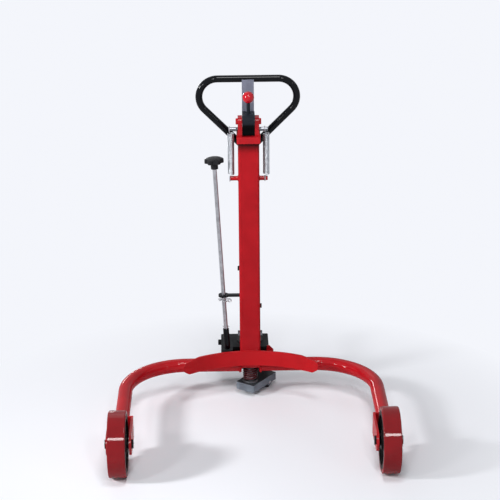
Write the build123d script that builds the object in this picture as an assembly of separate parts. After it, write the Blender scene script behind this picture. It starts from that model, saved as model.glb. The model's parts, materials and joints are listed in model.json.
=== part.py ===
from build123d import *
import math
import os

# Foot-pumped drum trolley. Millimetres, X to the right, Y towards the pusher, Z up, floor at Z = 0.
# Every place is measured from the mast axis; place() moves the whole trolley to its own origin.

# Front wheels and yokes
WHEEL_D = 180.0
TREAD_W = 48.0
TREAD_T = 10.0
WHEEL_REACH = 511.0
AXLE_D = 16.0
AXLE_HEAD_W = 24.0
AXLE_HEAD_H = 4.0
AXLE_NUT_H = 5.0
HUB_D = 52.0
BEARING_D = 40.0
BEARING_W = 12.0
YOKE_PLATE = 6.0
YOKE_INSIDE = 56.0
YOKE_H = 64.0
YOKE_END_R = 29.0
TYRE_ROOM = 10.0
SPACER_D = 26.0

# Leg tubes, gussets and drum saddle
LEG_X = 361.5
LEG_BEND_R = 175.0
TUBE_D = 40.0
TUBE_WALL = 3.5
GUSSET_T = 6.0
GUSSET_H = 16.0
GUSSET_LEFT = 18.0
GUSSET_RIGHT = 40.0
SADDLE_R = 300.0
SADDLE_T = 6.0
SADDLE_H = 45.5
SADDLE_HALF_W = 194.0
SADDLE_TOP_CLIP = (44.0, 9.0)
SADDLE_LOW_CLIP = (15.0, 13.0)
SADDLE_CORNER_R = 10.0
SADDLE_LIFT = 12.5

# Mast
MAST_W = 60.0
MAST_WALL = 4.0
MAST_CORNER = 6.0
MAST_TOP = 783.0
MAST_SKIRT = 20.0
SKIRT_SLOPE_END = 8.0
FOOT_PLATE = 6.0
FOOT_RISE = 7.0
SIDE_SCREW_D = 8.0
SIDE_SCREW_LEFT_Z = 396.0
SIDE_SCREW_RIGHT_Z = 278.0

# Push handle and guide bar
HANDLE_D = 20.0
HANDLE_WALL = 2.5
HANDLE_RISE = 166.0
HANDLE_HALF_W = 138.5
HANDLE_CORNER_R = 52.0
HANDLE_FOOT_R = 30.0
HANDLE_LEG_X = 10.5
HANDLE_LEG_DROP = 90.0
BAR_W = 34.0
BAR_T = 8.0
BAR_DROP = 143.0
BAR_BOLT_D = 8.0
BAR_BOLT_RISES = (15.0, 35.0)

# Grab head that the ram lifts
RAM_D = 25.0
COLLAR_H = 19.5
COLLAR_LIP = 14.0
COLLAR_SIDE = 3.5
COLLAR_BACK = 7.7
EAR_T = 12.0
EAR_H = 52.0
EAR_LIP = 4.0
EAR_BACK = 14.0
EAR_TOP_R = 14.0
JAW_PIN_D = 10.0
JAW_PIN_Y = -16.0
JAW_PIN_RISE = 39.0
JAW_TOP_RISE = 65.0
JAW_FRONT = -66.0
JAW_REAR = 4.0
JAW_THROAT = -32.0
LIP_T = 12.0
LIP_DROP = 34.0
LIP_SLOPE = (7.0, 17.0)
JAW_ARM_H = 16.0
LEVER_D = 10.0
LEVER_Y = -26.0
LEVER_SEAT = 7.0
LEVER_SHOWN = 29.0
BALL_D = 33.0
CROSS_ROD_D = 12.0
CROSS_ROD_Y = -6.0
CROSS_ROD_RISE = 13.5
CROSS_ROD_END = 5.0

# Springs that pull the grab head down
PULL_SPRING_OUT = 20.0
PULL_SPRING_R = 8.2
PULL_WIRE = 2.8
PULL_HALF_TURNS = 17.25
PULL_HOOK_RUN = 12.5
PULL_BEND_R = 4.0
PULL_TIP_ANGLE = 60.0
PEG_D = 13.0
PEG_DROP = 111.0

# Lift cylinder inside the mast
CYLINDER_D = 40.0
CYLINDER_TOP_DROP = 143.0
CYLINDER_FLOOR = 8.0
CYLINDER_PIN_D = 10.0
CYLINDER_PIN_RISE = 101.0
EYE_T = 16.0
EYE_R = 13.0
GLAND_H = 15.0

# Pump
PUMP_LEFT_OUT = 56.0
PUMP_RIGHT_OUT = 26.0
PUMP_DEPTH = 100.0
PUMP_RISE = 42.0
PUMP_SINK = 30.0
PUMP_GLAND_D = 78.0
PUMP_GLAND_T = 4.0
MOUNT_T = 6.0
MOUNT_INSET = 6.0
MOUNT_EAR_OUT = 14.0
MOUNT_EAR_H = 25.0
PUMP_BOLT_D = 8.0
PUMP_BOLT_L = 20.0
PUMP_BOLT_LEFT_OUT = 36.0
PUMP_BOLT_RIGHT_OUT = 11.0
PUMP_BOLT_DROPS = (12.0, -10.0)
OIL_PLUG_D = 16.0
OIL_PLUG_L = 9.0
OIL_PLUG_BACK = 64.0
OIL_PLUG_DROP = 12.0

# Plunger and pedal
PLUNGER_D = 16.0
PLUNGER_BACK = 52.0
PLUNGER_DEPTH = 24.0
PLUNGER_STROKE = 16.0
PLUNGER_SEAT_D = 32.0
PLUNGER_SEAT_T = 4.0
PLUNGER_SEAT_DROP = 13.7
PUMP_SPRING_R = 12.5
PUMP_WIRE = 2.5
PUMP_TURNS = 5.0
PEDAL_PIN_D = 10.0
PEDAL_PIN_BACK = 12.0
PEDAL_PIN_RISE = 60.0
PEDAL_ARM_W = 28.0
PEDAL_ARM_T = 12.0
PEDAL_NOSE = 10.0
PEDAL_TREAD_W = 52.0
PEDAL_TREAD_L = 60.0
PEDAL_TREAD_T = 8.0
PEDAL_GROOVES = 6
REAR_REACH = 255.0
LUG_T = 8.0
LUG_R = 11.0
LUG_GAP = 2.0

# Release valve
VALVE_OUT = 37.5
VALVE_Y = -10.0
VALVE_TILT = 3.03
VALVE_BOSS_W = 32.0
VALVE_BOSS_FRONT = 12.0
VALVE_BOSS_RISE = 14.0
SPINDLE_D = 10.0
SPINDLE_DEPTH = 20.0
COUPLING_D = 17.5
COUPLING_GAP = 2.0
COUPLING_L = 64.0
COUPLING_SOCKET = 16.0
COUPLING_PIN_D = 4.0
COUPLING_PIN_L = 20.0
COUPLING_PIN_RISE = 6.0
RELEASE_ROD_L = 525.0
RELEASE_ROD_D = 12.0
KNOB_D = 55.0
KNOB_T = 17.0
KNOB_LOBES = 6
KNOB_HUB_D = 21.0
KNOB_HUB_L = 18.0
GUIDE_Z = 316.0
GUIDE_RING_D = 30.0
GUIDE_T = 6.0
GUIDE_W = 14.0

# Sprung swivel castor under the mast
STEM_D = 20.0
STEM_BUSH_H = 43.0
STEM_RING_D = 28.0
STEM_RING_T = 6.7
SEAT_D = 46.0
SEAT_T = 4.7
CASTOR_SPRING_R = 19.5
CASTOR_WIRE = 5.0
CASTOR_TURNS = 6.0
KINGPIN_D = 14.0
HOUSING_W = 62.0
HOUSING_FRONT = 30.0
HOUSING_BACK = 92.0
HOUSING_H = 23.0
HOUSING_WALL = 4.0
HOUSING_TOP = 3.0
HOUSING_EDGE_R = 2.0
CASTOR_ANGLE = 55.0
ROLLER_D = 34.0
ROLLER_TRAIL = 58.0
ROLLER_SIDE = 1.5
CASTOR_AXLE_D = 10.0
CASTOR_LOBE_R = 10.0

# Fits, each a gap on one side
RUN_FIT = 0.05
SEAT_FIT = 0.02
SLIDE_GAP = 0.3
SIDE_GAP = 0.5
WELD_GAP = 0.05
INSIDE_FIT = 0.1

# Places worked out from the driving sizes
HALF_MAST = MAST_W / 2
INSIDE = HALF_MAST - MAST_WALL
AXLE_Z = WHEEL_D / 2
AXLE_Y = -WHEEL_REACH
TUBE_Z = AXLE_Z
TUBE_TOP = TUBE_Z + TUBE_D / 2
YOKE_FACE = AXLE_Y + WHEEL_D / 2 + TYRE_ROOM
LEG_END = YOKE_FACE + YOKE_PLATE
MAST_BOTTOM = TUBE_Z - MAST_SKIRT
FOOT_TOP = TUBE_Z + FOOT_RISE
FOOT_UNDER = FOOT_TOP - FOOT_PLATE
BUSH_TOP = FOOT_TOP + STEM_BUSH_H
SADDLE_Z = TUBE_Z + SADDLE_LIFT
BAR_BACK = HALF_MAST + BAR_T
BAR_LOW = MAST_TOP - BAR_DROP
HANDLE_Y = BAR_BACK + HANDLE_D / 2
HANDLE_Z = MAST_TOP + HANDLE_RISE
COLLAR_Z = MAST_TOP + SIDE_GAP
COLLAR_TOP = COLLAR_Z + COLLAR_H
COLLAR_FRONT = -HALF_MAST - COLLAR_LIP
EAR_FRONT = -HALF_MAST - EAR_LIP
JAW_PIN_Z = COLLAR_TOP + JAW_PIN_RISE
JAW_TOP = COLLAR_TOP + JAW_TOP_RISE
JAW_HALF_W = HALF_MAST - EAR_T - SIDE_GAP
CROSS_ROD_Z = COLLAR_TOP + CROSS_ROD_RISE
PULL_SPRING_X = HALF_MAST + PULL_SPRING_OUT
PEG_Z = MAST_TOP - PEG_DROP
CYLINDER_PIN_Z = TUBE_Z + CYLINDER_PIN_RISE
CYLINDER_BASE = CYLINDER_PIN_Z + EYE_R
CYLINDER_TOP = MAST_TOP - CYLINDER_TOP_DROP
MOUNT_BACK = HALF_MAST + MOUNT_T
PUMP_LEFT = HALF_MAST + PUMP_LEFT_OUT
PUMP_RIGHT = HALF_MAST + PUMP_RIGHT_OUT
PUMP_BACK = MOUNT_BACK + PUMP_DEPTH
PUMP_TOP = TUBE_Z + PUMP_RISE
PUMP_LOW = TUBE_Z - PUMP_SINK
GLAND_TOP = PUMP_TOP + PUMP_GLAND_T
PLUNGER_Y = MOUNT_BACK + PLUNGER_BACK
PEDAL_PIN_Y = MOUNT_BACK + PEDAL_PIN_BACK
PEDAL_PIN_Z = PUMP_TOP + PEDAL_PIN_RISE
PEDAL_UNDER = PEDAL_PIN_Z - PEDAL_ARM_T / 2
PLUNGER_TIP = PEDAL_UNDER - SLIDE_GAP
PLUNGER_SEAT_TOP = PLUNGER_TIP - PLUNGER_SEAT_DROP
PLUNGER_SEAT_Z = PLUNGER_SEAT_TOP - PLUNGER_SEAT_T
LUG_IN = PEDAL_ARM_W / 2 + LUG_GAP
LUG_OUT = LUG_IN + LUG_T
VALVE_X = -HALF_MAST - VALVE_OUT
BOSS_LOW = TUBE_TOP + 2
BOSS_TOP = PUMP_TOP + VALVE_BOSS_RISE
COUPLING_TOP = COUPLING_GAP + COUPLING_L
ROD_LOW = COUPLING_TOP - COUPLING_SOCKET
ROD_TOP = ROD_LOW + RELEASE_ROD_L
HOUSING_ROOF = ROLLER_D + 1 + HOUSING_TOP
SEAT_Z = HOUSING_ROOF + SLIDE_GAP
SEAT_TOP = SEAT_Z + SEAT_T
SHIFT_Y = (WHEEL_REACH + WHEEL_D / 2 - REAR_REACH) / 2
SIDES = {"left": -1, "right": 1}

PARTS = {}


def place(name, *shapes):
    """Keep one node, moved to the trolley's own origin."""
    solids = [solid for shape in shapes for solid in shape.solids()]
    moved = [Pos(0, SHIFT_Y, 0) * solid for solid in solids]
    PARTS[name] = moved[0] if len(moved) == 1 else Compound(children=moved)


def block(x0, x1, y0, y1, z0, z1):
    middle = Pos((x0 + x1) / 2, (y0 + y1) / 2, (z0 + z1) / 2)
    return middle * Box(abs(x1 - x0), abs(y1 - y0), abs(z1 - z0))


def rod_x(diameter, x0, x1, y, z):
    return Pos((x0 + x1) / 2, y, z) * Rot(0, 90, 0) * Cylinder(diameter / 2, abs(x1 - x0))


def rod_y(diameter, y0, y1, x, z):
    return Pos(x, (y0 + y1) / 2, z) * Rot(90, 0, 0) * Cylinder(diameter / 2, abs(y1 - y0))


def rod_z(diameter, z0, z1, x=0, y=0):
    return Pos(x, y, (z0 + z1) / 2) * Cylinder(diameter / 2, abs(z1 - z0))


def up_rod(diameter, z0, z1):
    return rod_z(diameter, z0, z1)


def hexagon(across, thickness):
    """Hexagonal prism about the origin, along +Z from Z = 0, its far corners eased."""
    head = extrude(RegularPolygon(across / 2, 6, major_radius=False), thickness)
    rim = rod_z(across * 1.12, 0, thickness)
    rim = chamfer(rim.edges().filter_by(GeomType.CIRCLE).sort_by(Axis.Z)[-1], thickness * 0.2)
    return head & rim


def hex_head(thread):
    """Across-flats size and height of a head for a thread."""
    return thread * 1.6, thread * 0.6


def side_bolt(thread, x_head, x_end, y, z, head=None):
    """Hex bolt along X: its head's bearing face at x_head, its shank ending at x_end."""
    across, high = head or hex_head(thread)
    outward = -90 if x_head < x_end else 90
    cap = Pos(x_head, y, z) * Rot(0, outward, 0) * hexagon(across, high)
    return cap + rod_x(thread, x_head, x_end, y, z)


def side_nut(thread, x_face, outward, y, z, size=None):
    """Hex nut along X against the face at x_face, standing out along outward."""
    across, high = size or hex_head(thread)
    nut = Pos(x_face, y, z) * Rot(0, 90 * outward, 0) * hexagon(across, high)
    return nut - rod_x(thread + 2 * SEAT_FIT, x_face - 2 * high, x_face + 2 * high, y, z)


def plate_yz(points, x0, x1):
    """Flat plate between x0 and x1 with an outline of (y, z) points."""
    outline = make_face(Polyline(*[(x0, y, z) for y, z in points], close=True))
    return extrude(outline, x1 - x0, dir=(1, 0, 0))


def round_tube(path, diameter, wall):
    start = Plane(origin=path @ 0, z_dir=path % 0)
    outside = sweep(start * Circle(diameter / 2), path=path)
    return outside - sweep(start * Circle(diameter / 2 - wall), path=path)


def biarc(start, start_dir, end, end_dir):
    """Two arcs that leave start along start_dir and reach end along end_dir."""
    chord = end - start
    along = chord.dot(start_dir + end_dir)
    slack = 2 * (1 - start_dir.dot(end_dir))
    reach = (math.sqrt(along * along + slack * chord.dot(chord)) - along) / slack
    middle = (start + end + (start_dir - end_dir) * reach) * 0.5
    middle_dir = ((end - end_dir * reach) - (start + start_dir * reach)).normalized()
    return [TangentArc(start, middle, tangent=start_dir), TangentArc(middle, end, tangent=middle_dir)]


def helix(radius, pitch, first_angle, last_angle):
    """Arcs along a helix about Z, a half turn at a time, at height pitch * turns."""
    def at(angle):
        return Vector(radius * math.cos(angle), radius * math.sin(angle), pitch * angle / math.tau)

    def heading(angle):
        return Vector(-radius * math.sin(angle), radius * math.cos(angle), pitch / math.tau).normalized()

    steps = max(2, round((last_angle - first_angle) / math.pi))
    angles = [first_angle + (last_angle - first_angle) * i / steps for i in range(steps + 1)]
    arcs = []
    for a, b in zip(angles, angles[1:]):
        arcs += biarc(at(a), heading(a), at(b), heading(b))
    return arcs, at(last_angle), heading(last_angle)


def hook(end, heading):
    """Bend up out of the coil, then over and part way round a bar that lies along X."""
    rise = math.asin(heading.Z)
    turned = end + Vector(PULL_BEND_R * (math.sin(rise) - 1), 0, PULL_BEND_R * math.cos(rise))
    bar_z = end.Z + PULL_HOOK_RUN
    tip_angle = math.radians(PULL_TIP_ANGLE)
    near = Vector(turned.X, PULL_SPRING_R, bar_z)
    far = Vector(turned.X, -PULL_SPRING_R, bar_z)
    tip_y = -PULL_SPRING_R * math.cos(tip_angle)
    tip = Vector(turned.X, tip_y, bar_z - PULL_SPRING_R * math.sin(tip_angle))
    return [
        TangentArc(end, turned, tangent=heading),
        Line(turned, near),
        TangentArc(near, far, tangent=(0, 0, 1)),
        TangentArc(far, tip, tangent=(0, 0, -1)),
    ]


def least_gap(edges, wire):
    """Least gap between stretches of wire that are not neighbours, measured on points."""
    samples = 24
    cell = 2 * wire
    cells = {}
    least = math.inf
    for index, edge in enumerate(edges):
        for k in range(samples):
            point = edge @ (k / samples)
            home = tuple(math.floor(c / cell) for c in (point.X, point.Y, point.Z))
            for dx in (-1, 0, 1):
                for dy in (-1, 0, 1):
                    for dz in (-1, 0, 1):
                        for other, there in cells.get((home[0] + dx, home[1] + dy, home[2] + dz), ()):
                            if index - other > 1:
                                least = min(least, (point - there).length)
            cells.setdefault(home, []).append((index, point))
    return least - wire


def wire_coil(name, edges, wire):
    path = Wire(edges)
    start = Plane(origin=path @ 0, z_dir=path % 0)
    coil = sweep(start * Circle(wire / 2), path=path)
    share = coil.volume / (math.pi * wire ** 2 / 4 * path.length)
    print(f"{name}: least gap {least_gap(edges, wire):.2f} mm, volume {share:.4f} of the wire's own")
    return coil


def push_spring(name, radius, wire, turns, z0, z1, x=0, y=0):
    """Compression spring between two flat seats at z0 and z1."""
    pitch = (z1 - z0 - wire - 2 * SLIDE_GAP) / turns
    arcs, _, _ = helix(radius, pitch, 0, turns * math.tau)
    place(name, Pos(x, y, z0 + SLIDE_GAP + wire / 2) * wire_coil(name, arcs, wire))


def pull_spring(name, x, z_low, z_high):
    """Extension spring whose end hooks hold bars along X at z_low and z_high."""
    half = PULL_HALF_TURNS * math.tau
    pitch = (z_high - z_low - 2 * PULL_HOOK_RUN) / (2 * PULL_HALF_TURNS)
    arcs, end, heading = helix(PULL_SPRING_R, pitch, -half, half)
    top = hook(end, heading)
    bottom = [Rot(180, 0, 0) * edge for edge in reversed(top)]
    coil = wire_coil(name, bottom + arcs + top, PULL_WIRE)
    place(name, Pos(x, CROSS_ROD_Y, (z_low + z_high) / 2) * coil)


def make_wheel(side, sign):
    """Core, tread and bearings of one front wheel; the tread runs close to the outer cheek."""
    outer = sign * (LEG_X + YOKE_INSIDE / 2 - SIDE_GAP)
    tread_out = outer - sign * SIDE_GAP
    tread_in = tread_out - sign * TREAD_W
    inner = tread_in - sign * SIDE_GAP
    rim_d = WHEEL_D - 2 * TREAD_T
    dish_depth = TREAD_W * 0.3
    core = rod_x(rim_d, tread_in, tread_out, AXLE_Y, AXLE_Z)
    for face, inward in ((tread_out, -sign), (tread_in, sign)):
        floor = face + inward * dish_depth
        dish = rod_x(rim_d - 24, face, floor, AXLE_Y, AXLE_Z)
        core -= dish - rod_x(HUB_D, face, floor, AXLE_Y, AXLE_Z)
    core += rod_x(HUB_D, inner, outer, AXLE_Y, AXLE_Z)
    core -= rod_x(AXLE_D + 4, inner, outer, AXLE_Y, AXLE_Z)
    rings = []
    for face, inward in ((outer, -sign), (inner, sign)):
        floor = face + inward * BEARING_W
        core -= rod_x(BEARING_D + 2 * SEAT_FIT, face, floor, AXLE_Y, AXLE_Z)
        ring = rod_x(BEARING_D, face, floor, AXLE_Y, AXLE_Z)
        rings.append(ring - rod_x(AXLE_D + 2 * RUN_FIT, face, floor, AXLE_Y, AXLE_Z))
    tread = rod_x(WHEEL_D, tread_in, tread_out, AXLE_Y, AXLE_Z)
    tread = fillet(tread.edges().filter_by(GeomType.CIRCLE), TREAD_T * 0.3)
    tread -= rod_x(rim_d + 2 * SEAT_FIT, tread_in, tread_out, AXLE_Y, AXLE_Z)
    place(f"wheel_core_{side}", core)
    place(f"wheel_tread_{side}", tread)
    place(f"wheel_bearings_{side}", *rings)


def make_yoke(side, sign):
    """Bridge plate across the end of the leg tube with two cheeks that hold the axle."""
    middle = sign * LEG_X
    half_in = YOKE_INSIDE / 2
    half_out = half_in + YOKE_PLATE
    low = AXLE_Z - YOKE_H / 2
    high = AXLE_Z + YOKE_H / 2
    yoke = block(middle - half_out, middle + half_out, YOKE_FACE, LEG_END, low, high)
    outline = [
        (YOKE_FACE, low), (YOKE_FACE, high),
        (AXLE_Y, AXLE_Z + YOKE_END_R), (AXLE_Y, AXLE_Z - YOKE_END_R)]
    for x0 in (middle - half_out, middle + half_in):
        x1 = x0 + YOKE_PLATE
        yoke += plate_yz(outline, x0, x1)
        yoke += rod_x(2 * YOKE_END_R, x0, x1, AXLE_Y, AXLE_Z)
    yoke -= rod_x(AXLE_D + 2 * SEAT_FIT, middle - half_out, middle + half_out, AXLE_Y, AXLE_Z)
    place(f"yoke_{side}", yoke)


def make_axles():
    """Axle bolts, their nuts and the spacers on the inner side of each wheel."""
    half_in = YOKE_INSIDE / 2
    half_out = half_in + YOKE_PLATE
    head = (AXLE_HEAD_W, AXLE_HEAD_H)
    nut = (AXLE_HEAD_W, AXLE_NUT_H)
    bolts = []
    nuts = []
    spacers = []
    for sign in SIDES.values():
        outside = sign * (LEG_X + half_out)
        inside = sign * (LEG_X - half_out)
        bolts.append(side_bolt(AXLE_D, outside, inside - sign * AXLE_NUT_H, AXLE_Y, AXLE_Z, head))
        nuts.append(side_nut(AXLE_D, inside, -sign, AXLE_Y, AXLE_Z, nut))
        start = sign * (LEG_X - half_in)
        end = sign * (LEG_X + half_in - 3 * SIDE_GAP - TREAD_W - SLIDE_GAP)
        spacer = rod_x(SPACER_D, start, end, AXLE_Y, AXLE_Z)
        spacers.append(spacer - rod_x(AXLE_D + 2 * SEAT_FIT, start, end, AXLE_Y, AXLE_Z))
    place("wheel_axles", *bolts)
    place("axle_nuts", *nuts)
    place("axle_spacers", *spacers)


def make_base():
    """Two bent leg tubes, the gussets on top of them and the drum saddle."""
    for side, sign in SIDES.items():
        start = (sign * HALF_MAST, 0, TUBE_Z)
        corner = (sign * LEG_X, 0, TUBE_Z)
        end = (sign * LEG_X, LEG_END, TUBE_Z)
        path = FilletPolyline(start, corner, end, radius=LEG_BEND_R)
        place(f"leg_{side}", round_tube(path, TUBE_D, TUBE_WALL))

    tube_room = rod_x(TUBE_D + 2 * WELD_GAP, -LEG_X, LEG_X, 0, TUBE_Z)
    gussets = []
    for sign, length in ((-1, GUSSET_LEFT), (1, GUSSET_RIGHT)):
        gusset_top = TUBE_TOP + GUSSET_H
        corners = [
            (HALF_MAST, TUBE_Z), (HALF_MAST, gusset_top), (HALF_MAST + 5, gusset_top),
            (HALF_MAST + length, TUBE_TOP + 4), (HALF_MAST + length, TUBE_Z)]
        outline = Polyline(*[(sign * x, -GUSSET_T / 2, z) for x, z in corners], close=True)
        gussets.append(extrude(make_face(outline), GUSSET_T, dir=(0, 1, 0)) - tube_room)
    place("gussets", *gussets)

    centre_y = -HALF_MAST - WELD_GAP - SADDLE_R - SADDLE_T
    ring = Cylinder(SADDLE_R + SADDLE_T, SADDLE_H) - Cylinder(SADDLE_R, SADDLE_H)
    wide = SADDLE_HALF_W
    top = SADDLE_H / 2
    high_x, high_z = SADDLE_TOP_CLIP
    low_x, low_z = SADDLE_LOW_CLIP
    right = [(wide - low_x, -top), (wide, -top + low_z), (wide, top - high_z), (wide - high_x, top)]
    left = [(-x, z) for x, z in reversed(right)]
    outline = make_face(Polyline(*(right + left), close=True))
    outline = fillet(outline.vertices(), SADDLE_CORNER_R)
    front_view = extrude(Plane.XZ * outline, -2 * SADDLE_R)
    place("saddle", Pos(0, centre_y, SADDLE_Z + top) * (ring & front_view))


def bar_bolt_heights():
    return [BAR_LOW + rise for rise in BAR_BOLT_RISES]


def make_mast():
    """Square mast tube, cut open on a slope in front at its foot, with spring pegs and side screws."""
    outer = RectangleRounded(MAST_W, MAST_W, MAST_CORNER)
    inner = RectangleRounded(2 * INSIDE, 2 * INSIDE, MAST_CORNER - MAST_WALL)
    mast = Pos(0, 0, MAST_BOTTOM) * extrude(outer - inner, MAST_TOP - MAST_BOTTOM)
    mast -= block(-INSIDE, INSIDE, -HALF_MAST, -INSIDE, MAST_BOTTOM, FOOT_TOP)
    below = MAST_BOTTOM - 1
    slope = [(-HALF_MAST - 1, below), (-SKIRT_SLOPE_END, below), (-HALF_MAST - 1, FOOT_TOP)]
    mast -= plate_yz(slope, -MAST_W, MAST_W)
    mast -= rod_x(CYLINDER_PIN_D + 2 * SEAT_FIT, -MAST_W, MAST_W, 0, CYLINDER_PIN_Z)
    for z in bar_bolt_heights():
        mast -= rod_y(BAR_BOLT_D + 2 * SEAT_FIT, INSIDE, HALF_MAST, 0, z)

    screws = []
    seats = (
        (-HALF_MAST, 0, SIDE_SCREW_LEFT_Z, SIDE_SCREW_D),
        (HALF_MAST, 0, SIDE_SCREW_RIGHT_Z, SIDE_SCREW_D),
    )
    for face, y, z, thread in seats:
        end = math.copysign(INSIDE, face)
        mast -= rod_x(thread + 2 * SEAT_FIT, face, end, y, z)
        screws.append(side_bolt(thread, face, end, y, z))
    place("mast_tube", mast)
    place("mast_side_screws", *screws)

    pegs = []
    for sign in SIDES.values():
        end = sign * (PULL_SPRING_X + CROSS_ROD_END - 1)
        peg = rod_x(PEG_D, sign * HALF_MAST, end, CROSS_ROD_Y, PEG_Z)
        rims = peg.edges().filter_by(GeomType.CIRCLE).sort_by(Axis.X)
        pegs.append(chamfer(rims[-1] if sign > 0 else rims[0], 1.5))
    place("spring_pegs", *pegs)


def make_handle():
    """Push handle loop, the guide bar welded to it and the bolts that hold the bar to the mast."""
    corner = HANDLE_HALF_W - HANDLE_CORNER_R + HANDLE_CORNER_R * math.tan(math.radians(67.5))
    bend_z = HANDLE_Z - (corner - HANDLE_LEG_X)
    half = [(-HANDLE_LEG_X, MAST_TOP - HANDLE_LEG_DROP), (-HANDLE_LEG_X, bend_z), (-corner, HANDLE_Z)]
    points = half + [(-x, z) for x, z in reversed(half)]
    radii = [HANDLE_FOOT_R, HANDLE_CORNER_R, HANDLE_CORNER_R, HANDLE_FOOT_R]
    path = FilletPolyline(*[(x, HANDLE_Y, z) for x, z in points], radius=radii)
    place("handle", round_tube(path, HANDLE_D, HANDLE_WALL))

    bar = block(-BAR_W / 2, BAR_W / 2, HALF_MAST, BAR_BACK, BAR_LOW, HANDLE_Z)
    across, high = hex_head(BAR_BOLT_D)
    bolts = []
    for z in bar_bolt_heights():
        bar -= rod_y(BAR_BOLT_D + 2 * SEAT_FIT, HALF_MAST, BAR_BACK, 0, z)
        head = Pos(0, BAR_BACK, z) * Rot(-90, 0, 0) * hexagon(across, high)
        bolts.append(head + rod_y(BAR_BOLT_D, INSIDE, BAR_BACK, 0, z))
    place("guide_bar", bar)
    place("guide_bar_bolts", *bolts)


def make_lift():
    """Cylinder pinned inside the mast, its gland, and the ram that lifts the grab head."""
    bore = RAM_D + 2 * RUN_FIT
    floor = CYLINDER_BASE + CYLINDER_FLOOR
    cylinder = rod_z(CYLINDER_D, CYLINDER_BASE, CYLINDER_TOP)
    cylinder -= rod_z(bore, floor, CYLINDER_TOP)
    cylinder += block(-EYE_T / 2, EYE_T / 2, -EYE_R, EYE_R, CYLINDER_PIN_Z, CYLINDER_BASE)
    cylinder += rod_x(2 * EYE_R, -EYE_T / 2, EYE_T / 2, 0, CYLINDER_PIN_Z)
    cylinder -= rod_x(CYLINDER_PIN_D + 2 * SEAT_FIT, -EYE_T, EYE_T, 0, CYLINDER_PIN_Z)
    place("lift_cylinder", cylinder)

    gland = rod_z(CYLINDER_D, CYLINDER_TOP, CYLINDER_TOP + GLAND_H)
    place("cylinder_gland", gland - rod_z(bore, CYLINDER_TOP, CYLINDER_TOP + GLAND_H))

    _, nut_high = hex_head(CYLINDER_PIN_D)
    pin = side_bolt(CYLINDER_PIN_D, -HALF_MAST, HALF_MAST + nut_high, 0, CYLINDER_PIN_Z)
    place("cylinder_pin", pin, side_nut(CYLINDER_PIN_D, HALF_MAST, 1, 0, CYLINDER_PIN_Z))

    ram = rod_z(RAM_D, floor + 2, COLLAR_Z)
    place("lift_ram", chamfer(ram.edges().filter_by(GeomType.CIRCLE).sort_by(Axis.Z)[0], 2))


def make_grab_head():
    """Collar that slides on the guide bar, two ears, the jaw pin and the cross rod."""
    collar_half = HALF_MAST + COLLAR_SIDE
    front = block(-collar_half, collar_half, COLLAR_FRONT, HALF_MAST, COLLAR_Z, COLLAR_TOP)
    front = fillet(front.edges().filter_by(Axis.Z).group_by(Axis.Y)[0], 3)
    window = BAR_W / 2 + SLIDE_GAP
    rear_half = window + COLLAR_BACK
    rear_end = BAR_BACK + SLIDE_GAP + COLLAR_BACK
    rear = block(-rear_half, rear_half, 0, rear_end, COLLAR_Z, COLLAR_TOP)
    rear = fillet(rear.edges().filter_by(Axis.Z).group_by(Axis.Y)[-1], 3)
    slot = block(-window, window, HALF_MAST - SLIDE_GAP, BAR_BACK + SLIDE_GAP, COLLAR_Z, COLLAR_TOP)
    place("lift_collar", front + rear - slot)

    pin_hole = rod_x(JAW_PIN_D + 2 * SEAT_FIT, -MAST_W, MAST_W, JAW_PIN_Y, JAW_PIN_Z)
    rod_hole = rod_x(CROSS_ROD_D + 2 * SEAT_FIT, -MAST_W, MAST_W, CROSS_ROD_Y, CROSS_ROD_Z)
    for side, sign in SIDES.items():
        near = sign * (HALF_MAST - EAR_T)
        ear = block(near, sign * HALF_MAST, EAR_FRONT, EAR_BACK, COLLAR_TOP, COLLAR_TOP + EAR_H)
        ear = fillet(ear.edges().filter_by(Axis.X).group_by(Axis.Z)[-1], EAR_TOP_R)
        place(f"ear_{side}", ear - pin_hole - rod_hole)

    _, nut_high = hex_head(JAW_PIN_D)
    pin = side_bolt(JAW_PIN_D, -HALF_MAST, HALF_MAST + nut_high, JAW_PIN_Y, JAW_PIN_Z)
    place("jaw_pin", pin, side_nut(JAW_PIN_D, HALF_MAST, 1, JAW_PIN_Y, JAW_PIN_Z))

    end = PULL_SPRING_X + CROSS_ROD_END
    rod = rod_x(CROSS_ROD_D, -end, end, CROSS_ROD_Y, CROSS_ROD_Z)
    place("cross_rod", chamfer(rod.edges().filter_by(GeomType.CIRCLE), 1.2))


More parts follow.
